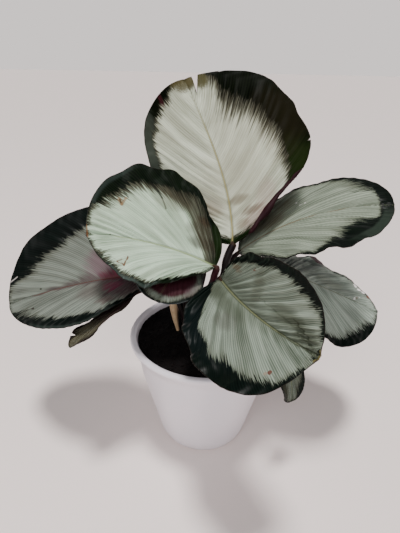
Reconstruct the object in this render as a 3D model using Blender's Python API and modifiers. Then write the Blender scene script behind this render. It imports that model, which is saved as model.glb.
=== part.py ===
"""Potted calathea: a round tapered pot, soil, nine leaf blades on nine stalks and one dry sheath.

Metres, +Z up. The origin is the centre of the pot's underside.
"""
import math

import bpy
import bmesh
from mathutils import Vector

# pot
POT_HEIGHT = 0.104
LIP_RADIUS = 0.0642
LIP_INNER_RADIUS = 0.0580
NECK_RADIUS = 0.0578
NECK_HEIGHT = 0.089
FOOT_RADIUS = 0.0365
WALL = 0.0028
FLOOR = 0.0040
POT_STEPS = 40

# soil
SOIL_TOP = 0.1008
SOIL_GAP = 0.00046

# leaves
BLADE_THICKNESS = 0.0009
RIB_THICKNESS = 0.0024
STALK_CLEAR = 0.0006
STALK_LIFT = 0.0004
JOINT_LENGTH = 0.009

# Each leaf: where the blade starts, its compass heading and rise in degrees, how far it droops, veers and
# twists by the tip, its length, the widths of its halves, how blunt the base and tip are, how each half
# folds up from the midrib and cups towards the margin, and small swells of each margin.
LEAVES = [
    dict(name="back", base=(0.0200, 0.0070, 0.1820), heading=87, rise=34, droop=23, veer=56,
         roll=-24, twist=-1, length=0.165, left=0.0610, right=0.0790, base_blunt=0.63, tip_blunt=0.49,
         fold=(10, 11), cup=(5, 13),
         left_swell=(0.01, 0.02, -0.02, -0.01), right_swell=(0.03, 0.03, -0.04, 0),
         wave=((4, 0.0016, -0.2), (5, 0.0044, -2.1)), foot=(0.0000, 0.0040),
         lean=(0.25, -0.05), climb=0.055, arrive=0.016, stalk=(0.0023, 0.0019), joint=0.0024),
    dict(name="left_upper", base=(0.0070, -0.0060, 0.1680), heading=155, rise=17, droop=-5, veer=52,
         roll=-16, twist=-15, length=0.105, left=0.0470, right=0.0585, base_blunt=0.55, tip_blunt=0.44,
         fold=(16, 25), cup=(-16, 20),
         left_swell=(-0.01, -0.04, -0.01, 0), right_swell=(-0.06, -0.06, -0.04, -0.03),
         wave=((4, 0.0016, -1.3), (5, 0.0018, -1.5)), foot=(-0.010, 0.000),
         lean=(0.25, -0.05), climb=0.050, arrive=0.006, stalk=(0.0022, 0.0018), joint=0.0022),
    dict(name="left_lower", base=(-0.0395, 0.0030, 0.1565), heading=168, rise=-10, droop=-10, veer=21,
         roll=-20, twist=-8, length=0.135, left=0.0520, right=0.0660, base_blunt=0.55, tip_blunt=0.63,
         fold=(14, 17), cup=(1, 21),
         left_swell=(0, -0.03, -0.02, -0.01), right_swell=(0, -0.01, -0.03, -0.01),
         wave=((4, 0.0000, 0), (4, 0.0006, -0.1)), foot=(-0.0145, 0.0010),
         lean=(-0.05, 0.0), climb=0.050, arrive=0.020, stalk=(0.0022, 0.0017), joint=0.0022),
    dict(name="right_upper", base=(0.0260, 0.0155, 0.1720), heading=-1, rise=41, droop=-37, veer=-16,
         roll=4, twist=10, length=0.124, left=0.0515, right=0.0530, base_blunt=0.6, tip_blunt=0.48,
         fold=(6, 6), cup=(-6, -10),
         left_swell=(0, 0.01, -0.02, 0), right_swell=(-0.02, 0, -0.03, -0.01),
         wave=((4, 0.0006, 2), (5, 0.0016, 1.9)), foot=(0.0060, 0.0080),
         lean=(0.05, 0.05), climb=0.045, arrive=0.016, stalk=(0.0020, 0.0015), joint=0.0019),
    dict(name="right_lower", base=(0.0460, 0.0125, 0.1645), heading=5, rise=-23, droop=-1, veer=-12,
         roll=8, twist=5, length=0.114, left=0.0445, right=0.0535, base_blunt=0.56, tip_blunt=0.5,
         fold=(-5, -5), cup=(-3, -13),
         left_swell=(0.02, -0.05, 0.04, 0.05), right_swell=(-0.02, 0.01, 0, -0.01),
         wave=((4, 0.0016, 0.6), (4, 0.0010, 0.9)), foot=(0.0070, -0.0010),
         lean=(0.20, 0.10), climb=0.045, arrive=0.022, stalk=(0.0020, 0.0016), joint=0.0020),
    dict(name="front", base=(0.0105, -0.0165, 0.1630), heading=-71, rise=-2, droop=11, veer=15,
         roll=37, twist=2, length=0.111, left=0.0410, right=0.0510, base_blunt=0.46, tip_blunt=0.3,
         fold=(31, 21), cup=(19, -2),
         left_swell=(-0.01, 0.02, 0.01, 0), right_swell=(0.01, 0.03, 0.02, 0.02),
         wave=((4, 0.0014, 0.7), (4, 0.0024, -0.3)), foot=(0.0010, -0.0110),
         lean=(0.10, -0.02), climb=0.045, arrive=0.007, stalk=(0.0022, 0.0018), joint=0.0022),
    dict(name="inner_small", base=(-0.0040, 0.0080, 0.1620), heading=223, rise=25, droop=-64, veer=29,
         roll=-28, twist=5, length=0.061, left=0.0235, right=0.0270, base_blunt=0.63, tip_blunt=0.44,
         fold=(2, 5), cup=(-7, -3),
         left_swell=(0, -0.03, -0.02, -0.02), right_swell=(-0.01, 0.01, -0.01, 0.01),
         wave=((2, -0.0012, -0.4), (2, 0.0008, -0.3)), foot=(-0.009, 0.008),
         lean=(0.05, 0.0), climb=0.040, arrive=0.012, stalk=(0.0017, 0.0013), joint=0.0016),
    dict(name="left_small", base=(-0.0535, -0.0150, 0.1495), heading=217, rise=-22, droop=-7, veer=-1,
         roll=16, twist=-8, length=0.065, left=0.0115, right=0.0115, base_blunt=0.59, tip_blunt=0.46,
         fold=(9, 8), cup=(3, 4),
         left_swell=(0, 0, 0, 0), right_swell=(-0.02, 0, -0.01, 0),
         wave=((2, 0.0018, 1.6), (2, -0.0024, 0)), foot=(-0.016, -0.005),
         lean=(-0.10, 0.0), climb=0.045, arrive=0.024, stalk=(0.0016, 0.0012), joint=0.0015),
    dict(name="right_small", base=(0.0595, -0.0430, 0.1220), heading=-45, rise=-64, droop=-22, veer=-5,
         roll=7, twist=5, length=0.049, left=0.0115, right=0.0125, base_blunt=0.56, tip_blunt=0.45,
         fold=(13, 11), cup=(3, 2),
         left_swell=(0, 0.01, 0, -0.01), right_swell=(0, -0.01, 0, 0.01),
         wave=((2, 0.0000, 0), (2, 0.0020, -1.4)), foot=(0.0070, -0.0085),
         lean=(0.30, -0.10), climb=0.040, arrive=0.020, stalk=(0.0015, 0.0012), joint=0.0015),
]
SMALL_LENGTH = 0.07
TEAR_REACH = 1.8
TEAR_HALF_HEIGHT = 0.005

# dry sheath
SHEATH_FOOT = (-0.0236, 0.0032)
SHEATH_TOP = (-0.0275, 0.0050, 0.1300)
SHEATH_WIDTH = 0.0080
SHEATH_THICKNESS = 0.0008

for old in list(bpy.data.objects):
    bpy.data.objects.remove(old, do_unlink=True)

parts = bpy.data.collections.new("potted_calathea")
bpy.context.scene.collection.children.link(parts)
cutters = bpy.data.collections.new("cutters")
bpy.context.scene.collection.children.link(cutters)


def make_material(name, colour, roughness):
    """One plain Principled material."""
    material = bpy.data.materials.new(name)
    material.use_nodes = True
    shader = material.node_tree.nodes["Principled BSDF"]
    shader.inputs["Base Color"].default_value = (*colour, 1.0)
    shader.inputs["Roughness"].default_value = roughness
    material.diffuse_color = (*colour, 1.0)
    return material


def add_object(name, data, material, collection=parts):
    """Put a mesh or curve in a collection, smooth shaded, with its material."""
    item = bpy.data.objects.new(name, data)
    collection.objects.link(item)
    data.materials.append(material)
    if isinstance(data, bpy.types.Mesh):
        for face in data.polygons:
            face.use_smooth = True
    return item


def modifier(item, kind, **settings):
    """Add one modifier with its settings."""
    added = item.modifiers.new(kind.lower(), kind)
    for key, value in settings.items():
        setattr(added, key, value)
    return added


def turned(name, profile, steps, material):
    """Turn a closed outline of (radius, height) points, outer side first, around +Z."""
    mesh = bpy.data.meshes.new(name)
    points = [(radius, 0.0, height) for radius, height in profile]
    edges = [(i, i + 1) for i in range(len(points) - 1)]
    mesh.from_pydata(points, edges, [])
    item = add_object(name, mesh, material)
    modifier(item, "SCREW", axis="Z", angle=math.tau, steps=steps, render_steps=steps,
             use_merge_vertices=True, merge_threshold=0.0001, use_smooth_shade=True)
    return item


# pot: one outline from the axis over the lip and back to the axis
outer_wall = [
    (LIP_RADIUS, POT_HEIGHT - 0.0020),
    (LIP_RADIUS - 0.0006, POT_HEIGHT - 0.0040),
    (LIP_RADIUS - 0.0030, POT_HEIGHT - 0.0080),
    (NECK_RADIUS + 0.0012, NECK_HEIGHT + 0.0025),
    (NECK_RADIUS, NECK_HEIGHT - 0.0020),
    (0.0555, 0.0720),
    (0.0512, 0.0520),
    (0.0468, 0.0330),
    (0.0433, 0.0180),
    (0.0412, 0.0085),
    (0.0396, 0.0035),
    (0.0382, 0.0010),
    (FOOT_RADIUS, 0.0),
]
inner_wall = [
    (0.0, FLOOR),
    (0.0360, FLOOR),
    (0.0395, FLOOR + 0.0030),
    (0.0433 - WALL, 0.0180),
    (0.0468 - WALL, 0.0330),
    (0.0512 - WALL, 0.0520),
    (0.0555 - WALL, 0.0720),
    (NECK_RADIUS - WALL, NECK_HEIGHT - 0.0020),
    (NECK_RADIUS - 0.0012, NECK_HEIGHT + 0.0040),
    (LIP_INNER_RADIUS, POT_HEIGHT - 0.0040),
]
lip_top = [
    (LIP_INNER_RADIUS + 0.0008, POT_HEIGHT - 0.0012),
    (LIP_INNER_RADIUS + 0.0024, POT_HEIGHT),
    (LIP_RADIUS - 0.0022, POT_HEIGHT),
    (LIP_RADIUS - 0.0006, POT_HEIGHT - 0.0007),
]
pot_outline = inner_wall + lip_top + outer_wall + [(0.0, 0.0)]
pot_white = make_material("pot_white", (0.80, 0.79, 0.80), 0.35)
pot = turned("pot", pot_outline, POT_STEPS, pot_white)

# soil: a plug that follows the pot's inside, a hair smaller
soil_black = make_material("soil_black", (0.012, 0.009, 0.008), 0.95)
soil_outline = [
    (0.0, SOIL_TOP),
    (0.0250, SOIL_TOP - 0.0003),
    (0.0450, SOIL_TOP - 0.0008),
    (0.0560, SOIL_TOP - 0.0012),
    (0.0574, SOIL_TOP - 0.0020),
]
for radius, height in reversed(inner_wall[2:-1]):
    soil_outline.append((radius - SOIL_GAP, height))
soil_outline.append((0.0358, FLOOR + SOIL_GAP))
soil_outline.append((0.0, FLOOR + SOIL_GAP))
soil = turned("soil", soil_outline, POT_STEPS, soil_black)


def half_width(along, leaf, side):
    """Width of one half of a blade, as a share of its greatest width, at a share of its length."""
    base_blunt = leaf["base_blunt"]
    tip_blunt = leaf["tip_blunt"]
    widest = base_blunt / (base_blunt + tip_blunt)
    along = min(max(along, 1e-6), 1 - 1e-6)
    width = (along / widest) ** base_blunt * ((1 - along) / (1 - widest)) ** tip_blunt
    swells = leaf["left_swell"] if side > 0 else leaf["right_swell"]
    for order, swell in enumerate(swells, start=2):
        width *= 1 + swell * math.sin(order * math.pi * along)
    return width + 0.012


def midrib(leaf, count=64):
    """Points along the midrib, each with its forward, left and up directions."""
    frames = []
    place = Vector(leaf["base"])
    step = leaf["length"] / count
    for i in range(count + 1):
        share = i / count
        heading = math.radians(leaf["heading"] + leaf["veer"] * share)
        rise = math.radians(leaf["rise"] + leaf["droop"] * share)
        roll = math.radians(leaf["roll"] + leaf["twist"] * share)
        level = Vector((math.cos(heading), math.sin(heading), 0))
        forward = level * math.cos(rise) + Vector((0, 0, math.sin(rise)))
        across = Vector((-math.sin(heading), math.cos(heading), 0))
        above = forward.cross(across)
        left = across * math.cos(roll) + above * math.sin(roll)
        up = above * math.cos(roll) - across * math.sin(roll)
        frames.append((place.copy(), forward, left, up))
        place = place + forward * step
    return frames


def blade_point(leaf, frames, along, out, side):
    """A point of the blade's upper face: share along the midrib, share out to the margin, side +1 or -1."""
    spot = along * (len(frames) - 1)
    low = min(int(spot), len(frames) - 2)
    mix = spot - low
    place = frames[low][0].lerp(frames[low + 1][0], mix)
    left = frames[low][2].lerp(frames[low + 1][2], mix)
    up = frames[low][3].lerp(frames[low + 1][3], mix)
    which = 0 if side > 0 else 1
    reach = leaf["left"] if side > 0 else leaf["right"]
    width = half_width(along, leaf, side)
    fold = math.radians(leaf["fold"][which])
    cup = math.radians(leaf["cup"][which])
    across = 0.0
    height = 0.0
    pieces = 12
    for i in range(pieces):
        share = (i + 0.5) / pieces * out * width
        across += math.cos(fold + cup * share) * reach * out * width / pieces
        height += math.sin(fold + cup * share) * reach * out * width / pieces
    count, size, phase = leaf["wave"][which]
    fade = min(1, 6 * along, 6 * (1 - along))
    height += size * out ** 3 * math.sin(math.tau * count * along + phase) * fade
    return place + left * (side * across) + up * height


def make_blade(leaf, material):
    """A leaf blade: a sheet lofted between cross lines, thickened below, with a thicker midrib."""
    small = leaf["length"] < SMALL_LENGTH
    rows = 10 if small else 16
    outs = (0.06, 0.30, 0.65, 1.0) if small else (0.035, 0.14, 0.30, 0.48, 0.66, 0.84, 1.0)
    columns = [-out for out in reversed(outs)] + [0.0] + list(outs)
    frames = midrib(leaf)
    sheet = bmesh.new()
    grid = []
    for row in range(rows + 1):
        along = 0.5 - 0.5 * math.cos(math.pi * row / rows)
        line = []
        for column in columns:
            side = 1 if column > 0 else -1
            line.append(sheet.verts.new(blade_point(leaf, frames, along, abs(column), side)))
        grid.append(line)
    for row in range(rows):
        for i in range(len(columns) - 1):
            sheet.faces.new((grid[row][i], grid[row + 1][i], grid[row + 1][i + 1], grid[row][i + 1]))
    name = leaf["name"] + "_blade"
    mesh = bpy.data.meshes.new(name)
    sheet.to_mesh(mesh)
    sheet.free()
    item = add_object(name, mesh, material)
    rib = item.vertex_groups.new(name="rib")
    middle = len(outs)
    for row in range(rows + 1):
        share = 1 - 0.9 * row / rows
        rib.add([row * len(columns) + middle], share, "REPLACE")
    rib_thickness = RIB_THICKNESS * (0.6 if small else 1.0)
    modifier(item, "SOLIDIFY", thickness=rib_thickness, offset=-1.0, vertex_group="rib",
             thickness_vertex_group=BLADE_THICKNESS / rib_thickness)
    return item, frames


def make_tear(item, leaf, frames, side, apex, low, high):
    """Cut a narrow wedge into a blade: its apex and two mouth points, each (along, out)."""
    tip, first, second = [blade_point(leaf, frames, along, out, side) for along, out in (apex, low, high)]
    first = tip + (first - tip) * TEAR_REACH
    second = tip + (second - tip) * TEAR_REACH
    normal = (first - tip).cross(second - tip).normalized() * TEAR_HALF_HEIGHT
    corners = [tip, first, second]
    points = [corner - normal for corner in corners] + [corner + normal for corner in corners]
    mesh = bpy.data.meshes.new(leaf["name"] + "_tear")
    mesh.from_pydata(points, [], [(0, 2, 1), (3, 4, 5), (0, 1, 4, 3), (1, 2, 5, 4), (2, 0, 3, 5)])
    cutter = add_object(leaf["name"] + "_tear", mesh, cutter_grey, cutters)
    cutter.hide_render = True
    cutter.display_type = "WIRE"
    modifier(item, "BOOLEAN", operation="DIFFERENCE", solver="EXACT", object=cutter)


def make_stalk(leaf, frames, material):
    """A leaf stalk: a tapering tube from the soil to the blade, thicker at its top joint."""
    place, forward, left, up = frames[0]
    rib = RIB_THICKNESS * (0.6 if leaf["length"] < SMALL_LENGTH else 1.0)
    end = place - forward * STALK_CLEAR - up * rib * 0.45
    tilt = math.hypot(*leaf["lean"])
    start = Vector((*leaf["foot"], SOIL_TOP + STALK_LIFT + leaf["stalk"][0] * tilt))
    rising = start + Vector((*leaf["lean"], 1.0)) * leaf["climb"]
    arriving = end - forward * leaf["arrive"]
    count = 14
    curve = bpy.data.curves.new(leaf["name"] + "_stalk", "CURVE")
    curve.dimensions = "3D"
    curve.bevel_depth = 1.0
    curve.bevel_resolution = 2
    curve.use_fill_caps = True
    line = curve.splines.new("POLY")
    line.points.add(count)
    length_left = 0.0
    path = []
    for i in range(count + 1):
        share = 1 - (1 - i / count) ** 1.5
        back = 1 - share
        spot = start * back ** 3 + rising * (3 * back ** 2 * share)
        spot = spot + arriving * (3 * back * share ** 2) + end * share ** 3
        path.append((spot, share))
    for i in range(count, -1, -1):
        spot, share = path[i]
        if i < count:
            length_left += (path[i + 1][0] - spot).length
        foot_radius, top_radius = leaf["stalk"]
        radius = foot_radius + (top_radius - foot_radius) * share
        joint = max(0.0, 1 - length_left / JOINT_LENGTH)
        radius += (leaf["joint"] - radius) * min(1.0, joint * 2.2)
        line.points[i].co = (*spot, 1.0)
        line.points[i].radius = radius
    item = add_object(leaf["name"] + "_stalk", curve, material)
    return item


cutter_grey = make_material("cutter_grey", (0.5, 0.5, 0.5), 0.5)
for leaf in LEAVES:
    green = (0.38, 0.45, 0.34) if leaf["length"] > SMALL_LENGTH else (0.16, 0.17, 0.09)
    leaf_green = make_material(leaf["name"] + "_green", green, 0.42)
    stalk_purple = make_material(leaf["name"] + "_purple", (0.035, 0.010, 0.014), 0.45)
    blade, frames = make_blade(leaf, leaf_green)
    stalk = make_stalk(leaf, frames, stalk_purple)
    if leaf["name"] == "back":
        make_tear(blade, leaf, frames, -1, (0.93, 0.14), (0.984, 0.31), (0.984, 0.51))
    if leaf["name"] == "left_small":
        make_tear(blade, leaf, frames, -1, (0.863, 0.57), (0.885, 1.0), (0.915, 1.0))

# dry sheath: a thin curled strip beside the stalks
sheath_tan = make_material("sheath_tan", (0.42, 0.27, 0.13), 0.7)
sheet = bmesh.new()
grid = []
foot = Vector((*SHEATH_FOOT, SOIL_TOP + 0.0008))
top = Vector(SHEATH_TOP)
for row in range(9):
    share = row / 8
    centre = foot.lerp(top, share) + Vector((-0.0008, 0, 0)) * math.sin(math.pi * share)
    width = SHEATH_WIDTH * min(1.0, 0.35 + 0.9 * share) * (1 - 0.35 * share ** 4)
    line = []
    for column in range(-3, 4):
        turn = math.radians(28 * column)
        offset = Vector((math.sin(turn), 1 - math.cos(turn), 0)) * width * 0.5
        line.append(sheet.verts.new(centre + offset))
    grid.append(line)
for row in range(8):
    for i in range(6):
        sheet.faces.new((grid[row][i], grid[row][i + 1], grid[row + 1][i + 1], grid[row + 1][i]))
sheath_mesh = bpy.data.meshes.new("sheath")
sheet.to_mesh(sheath_mesh)
sheet.free()
sheath = add_object("sheath", sheath_mesh, sheath_tan)
modifier(sheath, "SOLIDIFY", thickness=SHEATH_THICKNESS, offset=0.0)
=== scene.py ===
"""Potted calathea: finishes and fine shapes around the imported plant, in metres, +Z up."""

import math

import bmesh
import bpy
import numpy as np
from mathutils import Matrix, Vector, noise


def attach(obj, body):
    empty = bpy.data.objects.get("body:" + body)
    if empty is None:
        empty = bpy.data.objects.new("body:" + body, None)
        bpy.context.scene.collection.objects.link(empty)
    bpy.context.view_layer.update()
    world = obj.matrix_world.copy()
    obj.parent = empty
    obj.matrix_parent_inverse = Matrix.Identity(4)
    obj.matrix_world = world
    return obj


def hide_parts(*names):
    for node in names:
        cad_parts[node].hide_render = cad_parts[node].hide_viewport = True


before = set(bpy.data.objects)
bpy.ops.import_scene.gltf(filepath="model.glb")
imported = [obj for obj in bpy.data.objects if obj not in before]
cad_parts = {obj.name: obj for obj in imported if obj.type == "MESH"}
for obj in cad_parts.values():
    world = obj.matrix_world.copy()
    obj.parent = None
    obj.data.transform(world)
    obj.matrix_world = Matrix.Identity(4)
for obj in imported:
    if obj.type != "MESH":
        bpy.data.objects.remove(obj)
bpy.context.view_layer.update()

# --- Table, light and camera -------------------------------------------------------------
# The plant stands on a plain pale table in a bright room. A broad sun shines from overhead,
# one soft square panel hangs in front, and pale walls all round fill the shadows.
scene = bpy.context.scene


def fill(tree, node, values):
    """Give a node its values: a Value is linked, a plain number or colour is set."""
    for name, value in values.items():
        if isinstance(value, Value):
            tree.links.new(value.socket, node.inputs[name])
        else:
            node.inputs[name].default_value = value


class Value:
    """One output in a tree of nodes. Sums and products of Values add Math nodes."""

    def __init__(self, tree, socket):
        self.tree = tree
        self.socket = socket

    @classmethod
    def node(cls, tree, kind, settings, inputs, output=0):
        """Add a node: its settings first, then what its sockets hold or link to."""
        made = tree.nodes.new("ShaderNode" + kind)
        for key, setting in settings.items():
            if key == "stops":
                stops = made.color_ramp.elements
                while len(stops) < len(setting):
                    stops.new(0.5)
                for stop, (place, colour) in zip(stops, setting):
                    stop.position = place
                    stop.color = (*colour, 1.0)
            else:
                setattr(made, key, setting)
        fill(tree, made, inputs)
        return cls(tree, made.outputs[output])

    def maths(self, operation, *others):
        """A Math node on this value and the others, in order."""
        values = dict(enumerate((self, *others)))
        return Value.node(self.tree, "Math", {"operation": operation}, values)

    def __add__(self, other):
        return self.maths("ADD", other)

    __radd__ = __add__

    def __mul__(self, other):
        return self.maths("MULTIPLY", other)

    __rmul__ = __mul__

    def __sub__(self, other):
        return self.maths("SUBTRACT", other)

    def __rsub__(self, other):
        return Value.node(self.tree, "Math", {"operation": "SUBTRACT"}, {0: other, 1: self})

    def __truediv__(self, other):
        return self.maths("DIVIDE", other)

    def part(self, axis):
        """The X, Y or Z of this place."""
        return Value.node(self.tree, "SeparateXYZ", {}, {"Vector": self}, axis)

    def split(self):
        """The X and the Y of this place."""
        return self.part("X"), self.part("Y")

    def rise(self, start, end):
        """0 below start, 1 above end and a smooth step between; falls if start is above end."""
        values = {"Value": self, "From Min": min(start, end), "From Max": max(start, end)}
        if start > end:
            values |= {"To Min": 1.0, "To Max": 0.0}
        return Value.node(self.tree, "MapRange", {"interpolation_type": "SMOOTHSTEP"}, values)

    def ramp(self, *stops):
        """The colour at this value, between stops of (value, colour)."""
        return Value.node(self.tree, "ValToRGB", {"stops": stops}, {"Fac": self})

    def tinted(self, colour, amount):
        """This colour, mixed with another by an amount."""
        target = colour if isinstance(colour, Value) else (*colour, 1.0)
        settings = {"data_type": "RGBA"}
        return Value.node(self.tree, "Mix", settings, {0: amount, 6: self, 7: target}, 2)

    def bump(self, strength, depth):
        """This value as the relief of a surface, for its Normal."""
        values = {"Strength": strength, "Distance": depth, "Height": self}
        return Value.node(self.tree, "Bump", {}, values)


def new_finish(name):
    """A new material, with a shader to paint."""
    finish = bpy.data.materials.new(name)
    finish.use_nodes = True
    return finish


def paint(finish, values):
    """Give a material's shader its values."""
    fill(finish.node_tree, finish.node_tree.nodes["Principled BSDF"], values)


def mesh_of(name, sheet):
    """The finished mesh of a sheet of points and faces."""
    mesh = bpy.data.meshes.new(name)
    sheet.to_mesh(mesh)
    sheet.free()
    return mesh


def put(name, data):
    """Put a new object in the scene."""
    made = bpy.data.objects.new(name, data)
    scene.collection.objects.link(made)
    return made


TABLE_RADIUS = 40.0
TABLE_DROP = 0.0004
TABLE_COLOUR = (0.89, 0.79, 0.763, 1.0)
TABLE_ROUGHNESS = 0.62
table_sheet = bmesh.new()
bmesh.ops.create_circle(table_sheet, cap_ends=True, radius=TABLE_RADIUS, segments=96)
table = put("table_top", mesh_of("table_top", table_sheet))
table.location = (0.0, 0.0, -TABLE_DROP)
table_paint = new_finish("pale_table")
paint(table_paint, {"Base Color": TABLE_COLOUR, "Roughness": TABLE_ROUGHNESS})
table.data.materials.append(table_paint)

WALL_LIGHT = (1.02, 0.955, 0.93)
CEILING_LIGHT = (0.16, 0.165, 0.175)
WALL_TOP, CEILING_START = 0.15, 0.60
room = bpy.data.worlds.new("room")
room.use_nodes = True
tree = room.node_tree
height = Value.node(tree, "TexCoord", {}, {}, "Generated").part("Z")
light = height.ramp((WALL_TOP, WALL_LIGHT), (CEILING_START, CEILING_LIGHT))
fill(tree, tree.nodes["Background"], {"Color": light})
scene.world = room

SUN_AIM = (0.01, 0.05, -1.0)
sun = bpy.data.lights.new("overhead_light", "SUN")
sun.energy = 3.3
sun.angle = math.radians(11)
sun.color = (1.0, 0.97, 0.945)
overhead = put("overhead_light", sun)
overhead.rotation_euler = Vector(SUN_AIM).to_track_quat("-Z", "Y").to_euler()

PANEL_PLACE = Vector((-0.30, -1.25, 1.15))
PANEL_AIM = Vector((0.0, 0.0, 0.15))
soft = bpy.data.lights.new("front_panel", "AREA")
soft.shape = "SQUARE"
soft.size = 0.80
soft.energy = 12.0
soft.color = (1.0, 0.985, 0.97)
panel = put("front_panel", soft)
panel.location = PANEL_PLACE
panel.rotation_euler = (PANEL_AIM - PANEL_PLACE).to_track_quat("-Z", "Y").to_euler()

CAMERA_PLACE = (-0.0053, -0.2866, 0.3068)
CAMERA_DIP = math.radians(26.3)
CAMERA_ROLL = math.radians(1.1)
SENSOR_WIDTH = 36.0
camera_data = bpy.data.cameras.new("camera")
camera_data.sensor_width = SENSOR_WIDTH
camera_data.lens = SENSOR_WIDTH * 400 / 533
camera_data.clip_start = 0.01
camera = put("camera", camera_data)
tilt = Matrix.Rotation(math.pi / 2 - CAMERA_DIP, 4, "X")
camera.matrix_world = Matrix.Translation(CAMERA_PLACE) @ tilt @ Matrix.Rotation(CAMERA_ROLL, 4, "Z")
scene.camera = camera

# --- Pot ---------------------------------------------------------------------------------
# A round tapered pot with a flared, rounded lip, white all over with a soft gloss. It is
# turned in one piece, so its wall, lip and floor are one closed shape.
MM = 1000  # in a metre
POT_INSIDE = [(36, 4), (39.5, 7), (40.5, 18), (44, 33), (48.4, 52), (52.7, 72), (55, 87),
              (56.6, 93), (58, 100), (58.8, 102.8), (60.4, 104)]
POT_OUTSIDE = [(62.4, 104), (63.6, 103.4), (64.2, 102), (63.6, 100), (61.2, 96), (59, 91.5),
               (57.8, 87), (55.5, 72), (51.2, 52), (46.8, 33), (43.3, 18), (41.2, 8.5),
               (39.6, 3.5), (38.2, 1), (36.5, 0)]
POT_TURNS = 128


def position(finish):
    """Each point's place in the scene, in metres."""
    return Value.node(finish.node_tree, "NewGeometry", {}, {}, "Position")


def grain(place, size, seed, detail=2.0, rough=0.5):
    """Soft noise of a given scale per unit at a place, 0 to 1."""
    values = {"Vector": place, "W": seed, "Scale": size, "Detail": detail, "Roughness": rough}
    return Value.node(place.tree, "TexNoise", {"noise_dimensions": "4D"}, values)


def smooth_line(points, steps=4):
    """A smooth curve through points in mm, with a number of steps between each two."""
    line = [np.array(point) / MM for point in points]
    line = [2 * line[0] - line[1], *line, 2 * line[-1] - line[-2]]
    made = []
    for i in range(1, len(line) - 2):
        before, here, there, after = line[i - 1:i + 3]
        for step in range(steps):
            t = step / steps
            bend = (there - before) * t + (2 * before - 5 * here + 4 * there - after) * t ** 2
            bend = bend + (3 * here - before - 3 * there + after) * t ** 3
            made.append(here + bend / 2)
    made.append(line[-2])
    return made


def turned(name, outline, turns):
    """Turn an outline of (radius, height) round +Z. A height may be worked out from x and y."""
    sheet = bmesh.new()
    rings = []
    for radius, height in outline:
        ring = []
        for turn in range(turns if radius > 0 else 1):
            x = radius * math.cos(math.tau * turn / turns)
            y = radius * math.sin(math.tau * turn / turns)
            ring.append(sheet.verts.new((x, y, height(x, y) if callable(height) else height)))
        rings.append(ring)
    for first, second in zip(rings, rings[1:]):
        for turn in range(turns):
            after = (turn + 1) % turns
            if len(first) == 1:
                sheet.faces.new((first[0], second[turn], second[after]))
            elif len(second) == 1:
                sheet.faces.new((first[turn], second[0], first[after]))
            else:
                sheet.faces.new((first[turn], second[turn], second[after], first[after]))
    if len(rings[-1]) > 1:
        sheet.faces.new(rings[-1][::-1])
    return mesh_of(name, sheet)


def show(name, mesh, finishes, slot, *nodes):
    """Put a mesh on show as a piece that rides with the plant and stands for CAD nodes."""
    piece = put(name, mesh)
    for finish in finishes:
        mesh.materials.append(finish)
    mesh.shade_smooth()
    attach(piece, "root")
    if nodes:
        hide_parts(*nodes)
    return piece


pot_white = new_finish("pot_white")
spot = position(pot_white)
cloud = grain(spot, 9.0, 1.0)
mottle = grain(spot, 160.0, 2.0)
speck = grain(spot, 900.0, 3.0).rise(0.735, 0.76)
foot_dust = spot.part("Z").rise(0.016, 0.0) * grain(spot, 60.0, 4.0).rise(0.42, 0.75)
white = cloud.ramp((0.25, (0.70, 0.665, 0.725)), (0.75, (0.78, 0.745, 0.80)))
white = white.tinted((0.66, 0.64, 0.66), mottle.rise(0.5, 0.9) * 0.25)
white = white.tinted((0.42, 0.36, 0.31), foot_dust * 0.30 + speck * 0.25)
dimples = grain(spot, 420.0, 5.0) * 0.6 + grain(spot, 45.0, 6.0)
paint(pot_white, {
    "Base Color": white,
    "Roughness": cloud * 0.10 + mottle * 0.10 + foot_dust * 0.2 + 0.26,
    "Normal": dimples.bump(0.25, 0.0004),
    "Coat Weight": 0.25,
    "Coat Roughness": 0.18,
})
pot_outline = [(0.0, 0.0040), *smooth_line(POT_INSIDE), *smooth_line(POT_OUTSIDE), (0.0, 0.0)]
pot_mesh = turned("pot_shell", pot_outline, POT_TURNS)
show("pot_shell", pot_mesh, [pot_white], "pot_white", "pot")

# --- Soil --------------------------------------------------------------------------------
# Dark, moist potting mix, filled to a few millimetres under the lip: a lumpy surface of
# peat with loose crumbs of all sizes lying on it.
SOIL_TOP = 0.1008
SOIL_RADIUS = 0.0574
SOIL_RINGS = 70
SOIL_TURNS = 200
SOIL_SIDE = [(56, 92.5), (54.5, 86.5), (52.2, 72), (47.9, 52), (43.5, 33), (40, 18),
             (38.8, 7.5), (35.6, 4.6)]
CRUMBS = 1500
FINE_CRUMB = 0.0009


def crumbly(x, y):
    """Height of the soil's surface at a point."""
    spot = Vector((x, y, 0.0))
    lumps = noise.fractal(spot * 90, 1.0, 2.1, 4) * 0.00085
    grit = noise.fractal(spot * 520, 0.8, 2.2, 3) * 0.00040
    sink = 0.0012 * (math.hypot(x, y) / SOIL_RADIUS) ** 3
    return SOIL_TOP - 0.0007 - sink + lumps + grit


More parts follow.
